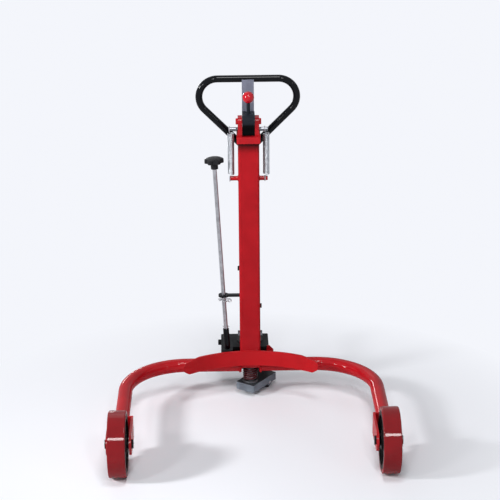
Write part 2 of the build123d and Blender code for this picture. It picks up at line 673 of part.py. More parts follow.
def make_jaw():
    """Hooked jaw that holds the drum's rim, with its lever and ball knob."""
    tail_back = CROSS_ROD_Y - CROSS_ROD_D / 2 - SLIDE_GAP
    tail_low = COLLAR_TOP + 3
    neck = CROSS_ROD_Z + CROSS_ROD_D / 2 + 3.5
    roof = JAW_TOP - JAW_ARM_H
    lip_low = JAW_TOP - LIP_DROP
    lip_in = JAW_FRONT + LIP_T
    slope_back, slope_high = LIP_SLOPE
    outline = [
        (JAW_THROAT, tail_low), (tail_back, tail_low), (tail_back, neck), (JAW_REAR, neck + 10),
        (JAW_REAR, JAW_TOP - 8), (JAW_REAR - 8, JAW_TOP),
        (JAW_FRONT + 10, JAW_TOP), (JAW_FRONT, JAW_TOP - 9),
        (JAW_FRONT, lip_low + slope_high), (JAW_FRONT + slope_back, lip_low),
        (lip_in - 3, lip_low), (lip_in, lip_low + 4),
        (lip_in, roof), (JAW_THROAT, roof)]
    jaw = plate_yz(outline, -JAW_HALF_W, JAW_HALF_W)
    jaw -= rod_x(JAW_PIN_D + 2 * RUN_FIT, -MAST_W, MAST_W, JAW_PIN_Y, JAW_PIN_Z)
    seat = JAW_TOP - LEVER_SEAT
    place("jaw", jaw - rod_z(LEVER_D + 2 * SEAT_FIT, seat, JAW_TOP, 0, LEVER_Y))

    ball_z = JAW_TOP + LEVER_SHOWN + BALL_D / 2
    lever_top = ball_z - BALL_D / 4
    place("lever_rod", rod_z(LEVER_D, seat, lever_top, 0, LEVER_Y))
    ball = Pos(0, LEVER_Y, ball_z) * Sphere(BALL_D / 2)
    place("ball_knob", ball - rod_z(LEVER_D + 2 * SEAT_FIT, ball_z - BALL_D, lever_top, 0, LEVER_Y))


def pump_bolt_places():
    left = -HALF_MAST - PUMP_BOLT_LEFT_OUT
    right = HALF_MAST + PUMP_BOLT_RIGHT_OUT
    return [(x, TUBE_Z - drop) for x in (left, right) for drop in PUMP_BOLT_DROPS]


def make_pump():
    """Mounting plate and cast pump with its lugs and valve boss, its bolts, gland and plug."""
    plate_left = -PUMP_LEFT + MOUNT_INSET
    plate_right = PUMP_RIGHT + MOUNT_EAR_OUT
    plate_top = BOSS_LOW - 1
    corners = [
        (plate_left, MAST_BOTTOM), (plate_left, plate_top), (PUMP_RIGHT - MOUNT_INSET, plate_top),
        (PUMP_RIGHT - MOUNT_INSET, plate_top + MOUNT_EAR_H), (PUMP_RIGHT + 2, plate_top + MOUNT_EAR_H),
        (plate_right, plate_top + MOUNT_EAR_H / 2), (plate_right, MAST_BOTTOM)]
    outline = Polyline(*[(x, HALF_MAST, z) for x, z in corners], close=True)
    plate = extrude(make_face(outline), MOUNT_T, dir=(0, 1, 0))
    pump = block(-PUMP_LEFT, PUMP_RIGHT, MOUNT_BACK, PUMP_BACK, PUMP_LOW, PUMP_TOP)
    pump = fillet(pump.edges().filter_by(Axis.Z), 6)
    for sign in SIDES.values():
        lug_back = PEDAL_PIN_Y + LUG_R
        lug_front = PEDAL_PIN_Y - LUG_R
        pump += block(sign * LUG_IN, sign * LUG_OUT, lug_front, lug_back, PUMP_TOP - 5, PEDAL_PIN_Z)
        pump += rod_x(2 * LUG_R, sign * LUG_IN, sign * LUG_OUT, PEDAL_PIN_Y, PEDAL_PIN_Z)
    pump -= rod_x(PEDAL_PIN_D + 2 * SEAT_FIT, -MAST_W, MAST_W, PEDAL_PIN_Y, PEDAL_PIN_Z)

    half = VALVE_BOSS_W / 2
    boss_front = VALVE_Y - VALVE_BOSS_FRONT
    boss = block(VALVE_X - half, VALVE_X + half, boss_front, MOUNT_BACK + 8, BOSS_LOW, BOSS_TOP)
    boss = fillet(boss.edges().filter_by(Axis.Z), 6)
    pump += boss
    pump -= valve_frame() * up_rod(SPINDLE_D + 2 * RUN_FIT, -SPINDLE_DEPTH - 2, SPINDLE_DEPTH)
    bore_low = GLAND_TOP - PLUNGER_DEPTH - PLUNGER_STROKE - 4
    pump -= rod_z(PLUNGER_D + 2 * RUN_FIT, bore_low, PUMP_TOP, 0, PLUNGER_Y)

    across, high = hex_head(PUMP_BOLT_D)
    bolts = []
    for x, z in pump_bolt_places():
        hole = rod_y(PUMP_BOLT_D + 2 * SEAT_FIT, HALF_MAST, HALF_MAST + PUMP_BOLT_L, x, z)
        plate -= hole
        pump -= hole
        head = Pos(x, HALF_MAST, z) * Rot(90, 0, 0) * hexagon(across, high)
        bolts.append(head + rod_y(PUMP_BOLT_D, HALF_MAST, HALF_MAST + PUMP_BOLT_L, x, z))
    place("pump_bolts", *bolts)
    place("pump_mount_plate", plate)

    plug_y = MOUNT_BACK + OIL_PLUG_BACK
    plug_z = PUMP_TOP - OIL_PLUG_DROP
    neck = OIL_PLUG_D * 0.6
    pump -= rod_x(neck + 2 * SEAT_FIT, -PUMP_LEFT, -PUMP_LEFT + 10, plug_y, plug_z)
    plug = Pos(-PUMP_LEFT, plug_y, plug_z) * Rot(0, -90, 0) * hexagon(OIL_PLUG_D, OIL_PLUG_L)
    place("oil_plug", plug + rod_x(neck, -PUMP_LEFT, -PUMP_LEFT + 10, plug_y, plug_z))
    place("pump_block", pump)

    gland = rod_z(PUMP_GLAND_D, PUMP_TOP, GLAND_TOP, 0, PLUNGER_Y)
    lug_room = LUG_OUT + 1
    gland -= block(-lug_room, lug_room, 0, PEDAL_PIN_Y + LUG_R + 1, PUMP_TOP, GLAND_TOP)
    place("pump_gland", gland - rod_z(PLUNGER_D + 2 * RUN_FIT, PUMP_TOP, GLAND_TOP, 0, PLUNGER_Y))


def make_pedal():
    """Plunger, its return spring, and the pedal that presses it."""
    ball_z = PLUNGER_TIP - PLUNGER_D / 2
    plunger = rod_z(PLUNGER_D, GLAND_TOP - PLUNGER_DEPTH, ball_z, 0, PLUNGER_Y)
    plunger += Pos(0, PLUNGER_Y, ball_z) * Sphere(PLUNGER_D / 2)
    plunger += rod_z(PLUNGER_SEAT_D, PLUNGER_SEAT_Z, PLUNGER_SEAT_TOP, 0, PLUNGER_Y)
    place("pump_plunger", plunger)
    seats = (GLAND_TOP, PLUNGER_SEAT_Z)
    push_spring("plunger_spring", PUMP_SPRING_R, PUMP_WIRE, PUMP_TURNS, *seats, 0, PLUNGER_Y)

    half = PEDAL_ARM_W / 2
    arm_top = PEDAL_UNDER + PEDAL_ARM_T
    arm = block(-half, half, PEDAL_PIN_Y - PEDAL_NOSE, REAR_REACH - 15, PEDAL_UNDER, arm_top)
    arm = fillet(arm.edges().filter_by(Axis.X), 3)
    place("pedal_arm", arm - rod_x(PEDAL_PIN_D + 2 * RUN_FIT, -half, half, PEDAL_PIN_Y, PEDAL_PIN_Z))

    tread_half = PEDAL_TREAD_W / 2
    tread_top = arm_top + PEDAL_TREAD_T
    tread = block(-tread_half, tread_half, REAR_REACH - PEDAL_TREAD_L, REAR_REACH, arm_top, tread_top)
    tread = fillet(tread.edges().filter_by(Axis.Z), 8)
    for i in range(PEDAL_GROOVES):
        y = REAR_REACH - PEDAL_TREAD_L * (i + 1) / (PEDAL_GROOVES + 1)
        tread -= block(-tread_half + 6, tread_half - 6, y - 1.5, y + 1.5, tread_top - 2.5, tread_top)
    place("pedal_tread", tread)

    pin = rod_x(PEDAL_PIN_D, -LUG_OUT - 3, LUG_OUT + 3, PEDAL_PIN_Y, PEDAL_PIN_Z)
    place("pedal_pin", chamfer(pin.edges().filter_by(GeomType.CIRCLE), 1))


def valve_frame():
    """Where the release valve's axis leaves its boss, leaning out to the left."""
    return Pos(VALVE_X, VALVE_Y, BOSS_TOP) * Rot(0, -VALVE_TILT, 0)


def make_release():
    """Release valve: spindle and coupling, long rod, cross pin, star knob and the guide on the mast."""
    frame = valve_frame()
    coupling = up_rod(COUPLING_D, COUPLING_GAP, COUPLING_TOP)
    coupling = chamfer(coupling.edges().filter_by(GeomType.CIRCLE), 1.5)
    coupling += up_rod(SPINDLE_D, -SPINDLE_DEPTH, COUPLING_GAP + 1)
    place("valve_coupling", frame * (coupling - up_rod(RELEASE_ROD_D + 2 * SEAT_FIT, ROD_LOW, COUPLING_TOP)))

    pin_at = Pos(0, 0, COUPLING_TOP + COUPLING_PIN_RISE) * Rot(0, 90, 0)
    pin_hole = pin_at * Cylinder(COUPLING_PIN_D / 2 + SEAT_FIT, COUPLING_PIN_L)
    place("coupling_pin", frame * pin_at * Cylinder(COUPLING_PIN_D / 2, COUPLING_PIN_L))
    place("release_rod", frame * (up_rod(RELEASE_ROD_D, ROD_LOW, ROD_TOP) - pin_hole))

    hub_low = ROD_TOP - KNOB_HUB_L
    lobe_r = KNOB_D * 0.15
    star = Circle(KNOB_D * 0.4)
    for i in range(KNOB_LOBES):
        star += Rot(0, 0, 360 * i / KNOB_LOBES) * Pos(KNOB_D / 2 - lobe_r, 0) * Circle(lobe_r)
    knob = Pos(0, 0, ROD_TOP) * extrude(star, KNOB_T)
    dome_r = KNOB_D * 1.1
    knob = knob & (Pos(0, 0, ROD_TOP + KNOB_T - dome_r) * Sphere(dome_r))
    knob += up_rod(KNOB_HUB_D, hub_low, ROD_TOP + 1)
    place("star_knob", frame * (knob - up_rod(RELEASE_ROD_D + 2 * SEAT_FIT, hub_low, ROD_TOP)))

    low = GUIDE_Z - GUIDE_T / 2
    high = GUIDE_Z + GUIDE_T / 2
    ring_x = VALVE_X - math.tan(math.radians(VALVE_TILT)) * (GUIDE_Z - BOSS_TOP)
    y0 = VALVE_Y - GUIDE_W / 2
    y1 = VALVE_Y + GUIDE_W / 2
    guide = block(ring_x, -HALF_MAST, y0, y1, low, high)
    guide += rod_z(GUIDE_RING_D, low, high, ring_x, VALVE_Y)
    place("rod_guide", guide - frame * up_rod(RELEASE_ROD_D + 2 * SLIDE_GAP, ROD_LOW, ROD_TOP))


def make_castor():
    """Sprung stem in a bush, and the low swivel housing with its roller."""
    wide = 2 * (INSIDE - INSIDE_FIT)
    corner = MAST_CORNER - MAST_WALL
    plate = Pos(0, 0, FOOT_UNDER) * extrude(RectangleRounded(wide, wide, corner), FOOT_PLATE)
    place("foot_plate", plate - rod_z(STEM_D + 2 * SLIDE_GAP, FOOT_UNDER, FOOT_TOP))
    bush = Pos(0, 0, FOOT_TOP) * extrude(RectangleRounded(wide, wide, corner), STEM_BUSH_H)
    place("stem_bush", bush - rod_z(STEM_D + 2 * RUN_FIT, FOOT_TOP, BUSH_TOP))

    across, high = hex_head(KINGPIN_D)
    nut_top = HOUSING_ROOF - HOUSING_TOP - SLIDE_GAP
    nut_low = nut_top - high
    ring_low = BUSH_TOP + SLIDE_GAP
    ring_top = ring_low + STEM_RING_T
    stem = rod_z(STEM_D, SEAT_Z, ring_top) + rod_z(SEAT_D, SEAT_Z, SEAT_TOP)
    place("castor_stem", stem + rod_z(KINGPIN_D, nut_low, SEAT_Z))
    ring = rod_z(STEM_RING_D, ring_low, ring_top)
    place("stem_stop_ring", ring - rod_z(STEM_D + 2 * SEAT_FIT, ring_low, ring_top))
    nut = Pos(0, 0, nut_low) * hexagon(across, high)
    place("kingpin_nut", nut - rod_z(KINGPIN_D + 2 * SEAT_FIT, nut_low, nut_top))
    push_spring("castor_spring", CASTOR_SPRING_R, CASTOR_WIRE, CASTOR_TURNS, SEAT_TOP, FOOT_UNDER)

    turn = Rot(0, 0, CASTOR_ANGLE)
    half = HOUSING_W / 2
    inside = half - HOUSING_WALL
    low = HOUSING_ROOF - HOUSING_H
    axle_z = ROLLER_D / 2
    shell = block(-HOUSING_FRONT, HOUSING_BACK, -half, half, low, HOUSING_ROOF)
    shell = fillet(shell.edges().filter_by(Axis.Z), HOUSING_EDGE_R)
    for sign in SIDES.values():
        shell += rod_y(2 * CASTOR_LOBE_R, sign * inside, sign * half, ROLLER_TRAIL, axle_z)
    hollow_roof = HOUSING_ROOF - HOUSING_TOP
    hollow_front = -HOUSING_FRONT + HOUSING_WALL
    hollow_back = HOUSING_BACK - HOUSING_WALL
    shell -= block(hollow_front, hollow_back, -inside, inside, 0, hollow_roof)
    shell -= rod_z(KINGPIN_D + 2 * RUN_FIT, low, HOUSING_ROOF)
    shell -= rod_y(CASTOR_AXLE_D + 2 * SEAT_FIT, -half, half, ROLLER_TRAIL, axle_z)
    place("castor_housing", turn * shell)

    axle = rod_y(CASTOR_AXLE_D, -half - 2, half + 2, ROLLER_TRAIL, axle_z)
    place("castor_axle", turn * chamfer(axle.edges().filter_by(GeomType.CIRCLE), 1))
    wide = inside - ROLLER_SIDE
    roller = rod_y(ROLLER_D, -wide, wide, ROLLER_TRAIL, axle_z)
    roller = fillet(roller.edges().filter_by(GeomType.CIRCLE), 2)
    roller -= rod_y(CASTOR_AXLE_D + 2 * RUN_FIT, -wide, wide, ROLLER_TRAIL, axle_z)
    place("castor_roller", turn * roller)


make_base()
make_mast()
make_handle()
make_lift()
make_grab_head()
make_jaw()
for side, sign in SIDES.items():
    make_wheel(side, sign)
    make_yoke(side, sign)
    pull_spring(f"lift_spring_{side}", sign * PULL_SPRING_X, PEG_Z, CROSS_ROD_Z)
make_axles()
make_pump()
make_pedal()
make_release()
make_castor()

os.makedirs("parts", exist_ok=True)
for name, shape in PARTS.items():
    export_step(shape, f"parts/{name}.step")
print(len(PARTS), "nodes")
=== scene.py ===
import json
import math
import bpy
import bmesh
from mathutils import Matrix, Vector
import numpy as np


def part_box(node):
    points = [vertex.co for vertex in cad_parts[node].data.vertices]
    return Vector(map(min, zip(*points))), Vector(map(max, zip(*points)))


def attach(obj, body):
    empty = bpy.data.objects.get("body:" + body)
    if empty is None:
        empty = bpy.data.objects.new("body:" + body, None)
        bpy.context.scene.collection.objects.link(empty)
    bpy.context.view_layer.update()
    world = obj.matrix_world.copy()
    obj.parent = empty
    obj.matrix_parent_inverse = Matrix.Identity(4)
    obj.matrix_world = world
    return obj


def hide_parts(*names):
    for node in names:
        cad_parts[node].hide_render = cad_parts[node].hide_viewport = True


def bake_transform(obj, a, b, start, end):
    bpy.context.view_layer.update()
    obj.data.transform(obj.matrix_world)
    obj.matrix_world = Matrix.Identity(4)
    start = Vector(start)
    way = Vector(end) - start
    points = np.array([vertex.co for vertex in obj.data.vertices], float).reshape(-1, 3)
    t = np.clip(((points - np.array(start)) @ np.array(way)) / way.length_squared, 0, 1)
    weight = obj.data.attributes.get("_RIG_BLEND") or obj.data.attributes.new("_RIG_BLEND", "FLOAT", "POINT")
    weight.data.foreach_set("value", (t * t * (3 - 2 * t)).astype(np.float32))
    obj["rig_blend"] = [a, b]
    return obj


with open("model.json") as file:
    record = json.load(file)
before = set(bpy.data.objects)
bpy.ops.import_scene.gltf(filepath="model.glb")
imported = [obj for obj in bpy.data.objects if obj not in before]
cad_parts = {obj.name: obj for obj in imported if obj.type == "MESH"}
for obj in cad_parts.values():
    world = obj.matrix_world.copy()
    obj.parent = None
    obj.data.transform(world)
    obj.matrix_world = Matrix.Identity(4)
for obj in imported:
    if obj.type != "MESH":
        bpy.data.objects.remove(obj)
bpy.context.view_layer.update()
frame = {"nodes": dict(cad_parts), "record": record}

nodes = frame["nodes"]
scene = bpy.context.scene
SLOTS = {entry["node"]: entry["material_slot"] for entry in frame["record"]["subparts"]}
MM = 0.001
# The mast axis stands this far behind the row's origin, in metres.
MAST_LOW, MAST_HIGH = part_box("mast_tube")
MAST_Y = (MAST_LOW[1] + MAST_HIGH[1]) / 2

# Camera at the photograph's place, in millimetres from the foot of the mast axis
CAMERA_AT = (-71.9, -4412.8, 2051.9)
# Its turn in degrees, with the pitch downwards, and its focal length in pixels of the frame
CAMERA_YAW = -0.958
CAMERA_PITCH = 19.929
CAMERA_ROLL = 0.47
CAMERA_FOCAL = 1619.6
CAMERA_FAR = 60
FRAME_PX = 500
SENSOR_MM = 36

# Lamps: name, place and aim in metres, width and height in metres, and watts
LAMPS = (
    ("key", (-3.2, -1.4, 2.0), (0, 0, 0.4), (0.45, 0.45), 90),
    ("front_left", (-0.60, -3.0, 2.6), (-0.36, -0.4, 0.1), (0.26, 0.5), 16),
    ("front_right", (0.72, -3.0, 2.6), (0.36, -0.4, 0.1), (0.26, 0.5), 16),
    ("high", (0.1, -1.3, 3.4), (0, 0, 0.3), (0.7, 1.0), 38),
    ("edge_left", (-2.2, -2.4, 2.0), (0, 0, 0.5), (0.36, 0.36), 17),
    ("edge_right", (2.2, -2.4, 2.0), (0, 0, 0.5), (0.3, 0.3), 4),
    ("rim", (-1.05, 3.1, 0.66), (0, 0, 0.2), (0.9, 0.12), 13),
    ("back", (-0.8, 2.9, 2.8), (0, 0, 0.3), (2.0, 2.0), 12),
)
WORLD_STRENGTH = 0.12

# Floor and backdrop: the floor fades to an even tone between two distances from a point on it, in metres
PALE = (0.905, 0.92, 0.97)
FADE_AT = (0, -0.14, 0)
FADE_FROM = 0.4
FADE_TO = 0.95
FLOOR_SIZE = 30
FLOOR_ROUGH = 0.9
FLOOR_SPECULAR = 0.1


def make_camera():
    """Perspective camera with the photograph's place, turn and focal length."""
    yaw, pitch, roll = (math.radians(a) for a in (CAMERA_YAW, CAMERA_PITCH, CAMERA_ROLL))
    forward = Vector((-math.sin(yaw) * math.cos(pitch), math.cos(yaw) * math.cos(pitch), -math.sin(pitch)))
    level = Vector((math.cos(yaw), math.sin(yaw), 0))
    down = forward.cross(level)
    image_right = math.cos(roll) * level + math.sin(roll) * down
    image_down = -math.sin(roll) * level + math.cos(roll) * down
    turn = Matrix((image_right, -image_down, -forward)).transposed().to_4x4()
    place = Vector(CAMERA_AT) * MM + Vector((0, MAST_Y, 0))
    data = bpy.data.cameras.new("camera")
    data.sensor_width = SENSOR_MM
    data.sensor_fit = "HORIZONTAL"
    data.lens = CAMERA_FOCAL / FRAME_PX * SENSOR_MM
    data.clip_end = CAMERA_FAR
    camera = bpy.data.objects.new("camera", data)
    camera.matrix_world = Matrix.Translation(place) @ turn
    scene.collection.objects.link(camera)
    scene.camera = camera


# Sockets of the Mix node when it mixes colours
MIX_FIRST = 6
MIX_SECOND = 7
MIX_RESULT = 2
# Wear along edges: reach in metres, and the cosines of the bevel at which it is full and none
WEAR_RADIUS = 1.2 * MM
WEAR_SAMPLES = 4
WEAR_FULL = 0.8
WEAR_NONE = 0.995
WEAR_SCALE = 90
WEAR_PART = 0.5
# A face counts as turned up, for the painted shade on faces turned up, from the first of these parts of the
# normal, and fully at the second.
SHADED_TOP_FACING = (0.5, 0.9)
# Gloss varies this many times finer than colour.
GLOSS_FINER = 4
RELIEF_DEPTH = 0.0003
RELIEF_DETAIL = 2.0


def add_node(tree, kind, **inputs):
    """New node with values set on its inputs, an underscore standing for a space in their names."""
    made = tree.nodes.new(kind)
    for name, value in inputs.items():
        made.inputs[name.replace("_", " ")].default_value = value
    return made


def join_values(tree, operation, first, second):
    """Two values joined by an operation of the Math node."""
    made = tree.nodes.new("ShaderNodeMath")
    made.operation = operation
    tree.links.new(first, made.inputs[0])
    tree.links.new(second, made.inputs[1])
    return made.outputs["Value"]


def z_part(tree, vector):
    """The Z part of a vector."""
    made = tree.nodes.new("ShaderNodeSeparateXYZ")
    tree.links.new(vector, made.inputs["Vector"])
    return made.outputs["Z"]


def noise(tree, coords, scale, detail=4.0, stretch=None):
    """Noise over coordinates, which a stretch scales along each axis."""
    source = coords
    if stretch:
        mapping = tree.nodes.new("ShaderNodeMapping")
        mapping.inputs["Scale"].default_value = stretch
        tree.links.new(coords, mapping.inputs["Vector"])
        source = mapping.outputs["Vector"]
    made = add_node(tree, "ShaderNodeTexNoise", Scale=scale, Detail=detail)
    tree.links.new(source, made.inputs["Vector"])
    return made.outputs["Fac"]


def spread(tree, value, low, high, from_low=0.3, from_high=0.7):
    """A value's range from_low to from_high spread over low to high, and held beyond."""
    made = add_node(tree, "ShaderNodeMapRange", From_Min=from_low, From_Max=from_high,
                    To_Min=low, To_Max=high)
    tree.links.new(value, made.inputs["Value"])
    return made.outputs["Result"]


def mix_colour(tree, factor, first, second):
    """Mix of two colours, each a socket or three numbers."""
    made = tree.nodes.new("ShaderNodeMix")
    made.data_type = "RGBA"
    tree.links.new(factor, made.inputs["Factor"])
    for socket, value in ((made.inputs[MIX_FIRST], first), (made.inputs[MIX_SECOND], second)):
        if hasattr(value, "links"):
            tree.links.new(value, socket)
        else:
            socket.default_value = (*value, 1)
    return made.outputs[MIX_RESULT]


def edge_mask(tree):
    """About 1 along convex and concave edges, 0 on flat faces."""
    bevel = add_node(tree, "ShaderNodeBevel", Radius=WEAR_RADIUS)
    bevel.samples = WEAR_SAMPLES
    geometry = tree.nodes.new("ShaderNodeNewGeometry")
    dot = tree.nodes.new("ShaderNodeVectorMath")
    dot.operation = "DOT_PRODUCT"
    tree.links.new(bevel.outputs["Normal"], dot.inputs[0])
    tree.links.new(geometry.outputs["Normal"], dot.inputs[1])
    return spread(tree, dot.outputs["Value"], 1, 0, WEAR_FULL, WEAR_NONE)


def surface(name, colour, shade=0.75, tint=1.15, patch=18, rough=(0.3, 0.4), metallic=0.0, bump=0.06,
            bump_scale=700, coat=0.0, coat_rough=0.1, specular=0.5, worn=None, stretch=None, foot=None,
            top=None):
    """Procedural finish: patches of lighter and darker colour, uneven gloss, fine relief, worn edges.

    A foot of (full, none, colour) lays a colour of painted shade on from the height of none to that of full
    and beyond.
    A top is the colour of painted shade laid on faces turned up.
    """
    made = bpy.data.materials.new(name)
    made.use_nodes = True
    tree = made.node_tree
    shader = tree.nodes["Principled BSDF"]
    place = tree.nodes.new("ShaderNodeTexCoord")
    coords = place.outputs["Object"]
    dark = tuple(c * shade for c in colour)
    light = tuple(min(1.0, c * tint) for c in colour)
    paint = mix_colour(tree, spread(tree, noise(tree, coords, patch, stretch=stretch), 0, 1), dark, light)
    if worn:
        rubbed = spread(tree, noise(tree, coords, WEAR_SCALE), 0, WEAR_PART)
        paint = mix_colour(tree, join_values(tree, "MULTIPLY", edge_mask(tree), rubbed), paint, worn)
    # Painted shade and painted shadow: a dark colour laid on by height
    if foot:
        full, none, painted_shade_colour = foot
        paint = mix_colour(tree, spread(tree, z_part(tree, coords), 1, 0, full, none), paint, painted_shade_colour)
    # Painted shade laid on faces turned up
    if top:
        facing = z_part(tree, place.outputs["Normal"])
        paint = mix_colour(tree, spread(tree, facing, 0, 1, *SHADED_TOP_FACING), paint, top)
    tree.links.new(paint, shader.inputs["Base Color"])
    gloss = noise(tree, coords, patch * GLOSS_FINER, stretch=stretch)
    tree.links.new(spread(tree, gloss, *rough), shader.inputs["Roughness"])
    shader.inputs["Metallic"].default_value = metallic
    shader.inputs["Specular IOR Level"].default_value = specular
    shader.inputs["Coat Weight"].default_value = coat
    shader.inputs["Coat Roughness"].default_value = coat_rough
    relief = add_node(tree, "ShaderNodeBump", Strength=bump, Distance=RELIEF_DEPTH)
    tree.links.new(noise(tree, coords, bump_scale, RELIEF_DETAIL, stretch), relief.inputs["Height"])
    tree.links.new(relief.outputs["Normal"], shader.inputs["Normal"])
    return made


# Heights in metres at which the painted shade of a foot colour is full and none
COLLAR_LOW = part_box("lift_collar")[0][2]
# Painted shadow on the mast, darkest just under the collar and fading out downwards
MAST_PAINTED_SHADOW = (COLLAR_LOW - 0.007, COLLAR_LOW - 0.031)
JAW_LIP_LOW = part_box("jaw")[1][2] - 0.034
# Painted shade on the jaw below its lip
JAW_PAINTED_SHADE = (JAW_LIP_LOW + 0.007, JAW_LIP_LOW + 0.012)
# Painted shade darkening the pump below its top
PUMP_PAINTED_SHADE = (0.121, 0.130)

FINISH_SETTINGS = {
    "red_paint": dict(
        colour=(0.42, 0.008, 0.013), shade=0.88, tint=1.08, rough=(0.08, 0.13), bump=0.02, specular=0.0,
        coat=0.3, coat_rough=0.06, worn=(0.6, 0.04, 0.04)),
    # Mast paint with a painted shadow under the collar
    "mast_paint": dict(
        colour=(0.39, 0.008, 0.013), shade=0.88, tint=1.08, rough=(0.08, 0.13), bump=0.02, specular=0.0,
        coat=0.16, coat_rough=0.09, worn=(0.42, 0.012, 0.016), foot=(*MAST_PAINTED_SHADOW, (0.055, 0.0035, 0.0045))),
    "saddle_paint": dict(
        colour=(0.45, 0.008, 0.012), shade=0.9, tint=1.06, rough=(0.14, 0.22), bump=0.05, specular=0.0,
        coat=0.2, coat_rough=0.12, worn=(0.62, 0.05, 0.05)),
    "black_paint": dict(
        colour=(0.0012, 0.0016, 0.003), rough=(0.07, 0.1), bump=0.01, specular=0.0, coat=0.34,
        coat_rough=0.06, worn=(0.03, 0.03, 0.03)),
    "bar_steel": dict(
        colour=(0.20, 0.215, 0.28), shade=0.85, tint=1.12, rough=(0.3, 0.44), metallic=0.3, specular=0.2,
        bump=0.12, stretch=(1, 1, 0.04), patch=120, worn=(0.45, 0.45, 0.46)),
    "zinc": dict(
        colour=(0.40, 0.40, 0.42), rough=(0.26, 0.4), metallic=1.0, patch=60, worn=(0.75, 0.75, 0.75)),
    "spring_zinc": dict(colour=(0.52, 0.54, 0.57), rough=(0.34, 0.46), metallic=1.0, patch=140),
    "castor_spring_steel": dict(
        colour=(0.055, 0.005, 0.007), rough=(0.26, 0.38), specular=0.25, patch=80),
    "chrome": dict(
        colour=(0.66, 0.66, 0.68), shade=0.9, tint=1.05, rough=(0.08, 0.16), metallic=1.0, bump=0.03),
    "rod_steel": dict(
        colour=(0.17, 0.175, 0.19), shade=0.9, tint=1.05, rough=(0.12, 0.2), metallic=1.0, bump=0.03),
    # Jaw steel with painted shade below the lip
    "jaw_steel": dict(
        colour=(0.015, 0.018, 0.024), rough=(0.34, 0.46), bump=0.2, specular=0.04,
        worn=(0.10, 0.105, 0.12), foot=(*JAW_PAINTED_SHADE, (0.002, 0.002, 0.0025))),
    "cylinder_steel": dict(
        colour=(0.34, 0.34, 0.36), rough=(0.3, 0.44), metallic=1.0, stretch=(1, 1, 6)),
    "gland_black": dict(
        colour=(0.005, 0.005, 0.0055), rough=(0.5, 0.66), bump=0.3, bump_scale=1500, specular=0.12),
    "red_ball": dict(
        colour=(0.48, 0.004, 0.014), shade=0.92, tint=1.05, rough=(0.07, 0.12), bump=0.02, specular=0.0,
        coat=0.6, coat_rough=0.06),
    "black_knob": dict(
        colour=(0.012, 0.012, 0.0135), rough=(0.42, 0.56), bump=0.3, bump_scale=1800, specular=0.15),
    # Pump casting with painted shade on its lower part
    "pump_casting": dict(
        colour=(0.018, 0.020, 0.022), shade=0.6, tint=1.3, rough=(0.42, 0.58), bump=0.5, bump_scale=420,
        specular=0.02, worn=(0.05, 0.054, 0.06), foot=(*PUMP_PAINTED_SHADE, (0.004, 0.004, 0.0045))),
    # Castor grey with painted shade on faces turned up
    "castor_grey": dict(
        colour=(0.18, 0.205, 0.24), rough=(0.3, 0.42), bump=0.18, specular=0.04, worn=(0.4, 0.43, 0.47),
        top=(0.028, 0.03, 0.035)),
    "bush_bronze": dict(colour=(0.42, 0.26, 0.10), rough=(0.34, 0.48), metallic=1.0),
    "red_tread": dict(
        colour=(0.215, 0.006, 0.009), shade=0.86, tint=1.1, rough=(0.06, 0.11), bump=0.02, bump_scale=300,
        specular=0.0, coat=0.36, coat_rough=0.07, worn=(0.3, 0.03, 0.03)),
    "black_core": dict(
        colour=(0.006, 0.005, 0.005), rough=(0.45, 0.6), bump=0.3, bump_scale=1200, specular=0.12),
    "bearing_steel": dict(colour=(0.42, 0.42, 0.44), rough=(0.25, 0.38), metallic=1.0),
    "roller_plastic": dict(colour=(0.02, 0.02, 0.022), rough=(0.45, 0.6), bump=0.25, specular=0.12),
}
FINISHES = {name: surface(name, **settings) for name, settings in FINISH_SETTINGS.items()}
# Nodes whose finish isn't that of their slot
NODE_FINISHES = {
    "mast_tube": "mast_paint",
    "cross_rod": "rod_steel",
    "pump_bolts": "rod_steel",
    "cylinder_pin": "rod_steel",
}


def finish_nodes():
    """Gives every CAD node its finish."""
    for node, slot_name in SLOTS.items():
        mesh = nodes[node].data
        mesh.materials.clear()
        mesh.materials.append(FINISHES[NODE_FINISHES.get(node, slot_name)])


def seen_ray(tree):
    """1 for rays from the camera, from mirrors and through glass, else 0."""
    path = tree.nodes.new("ShaderNodeLightPath").outputs
    direct = join_values(tree, "MAXIMUM", path["Is Camera Ray"], path["Is Glossy Ray"])
    return join_values(tree, "MAXIMUM", direct, path["Is Transmission Ray"])


def show_mix(tree, factor, first, second, output):
    """Puts out the first shader where factor is 0 and the second where it is 1."""
    mix = tree.nodes.new("ShaderNodeMixShader")
    tree.links.new(factor, mix.inputs["Fac"])
    tree.links.new(first, mix.inputs[1])
    tree.links.new(second, mix.inputs[2])
    tree.links.new(mix.outputs["Shader"], tree.nodes[output].inputs["Surface"])


def make_floor():
    """Pale floor that keeps shadows near the object and fades to an even pale backdrop further off."""
    mesh = bpy.data.meshes.new("floor")
    work = bmesh.new()
    bmesh.ops.create_grid(work, x_segments=1, y_segments=1, size=FLOOR_SIZE)
    work.to_mesh(mesh)
    work.free()
    floor = bpy.data.objects.new("floor", mesh)
    scene.collection.objects.link(floor)
    made = bpy.data.materials.new("floor_pale")
    made.use_nodes = True
    tree = made.node_tree
    shader = tree.nodes["Principled BSDF"]
    shader.inputs["Base Color"].default_value = (*PALE, 1)
    shader.inputs["Roughness"].default_value = FLOOR_ROUGH
    shader.inputs["Specular IOR Level"].default_value = FLOOR_SPECULAR
    glow = add_node(tree, "ShaderNodeEmission", Color=(*PALE, 1), Strength=1.0)
    far = tree.nodes.new("ShaderNodeVectorMath")
    far.operation = "DISTANCE"
    far.inputs[1].default_value = FADE_AT
    tree.links.new(tree.nodes.new("ShaderNodeTexCoord").outputs["Object"], far.inputs[0])
    fade = spread(tree, far.outputs["Value"], 0, 1, FADE_FROM, FADE_TO)
    factor = join_values(tree, "MULTIPLY", fade, seen_ray(tree))
    show_mix(tree, factor, shader.outputs["BSDF"], glow.outputs["Emission"], "Material Output")
    mesh.materials.append(made)


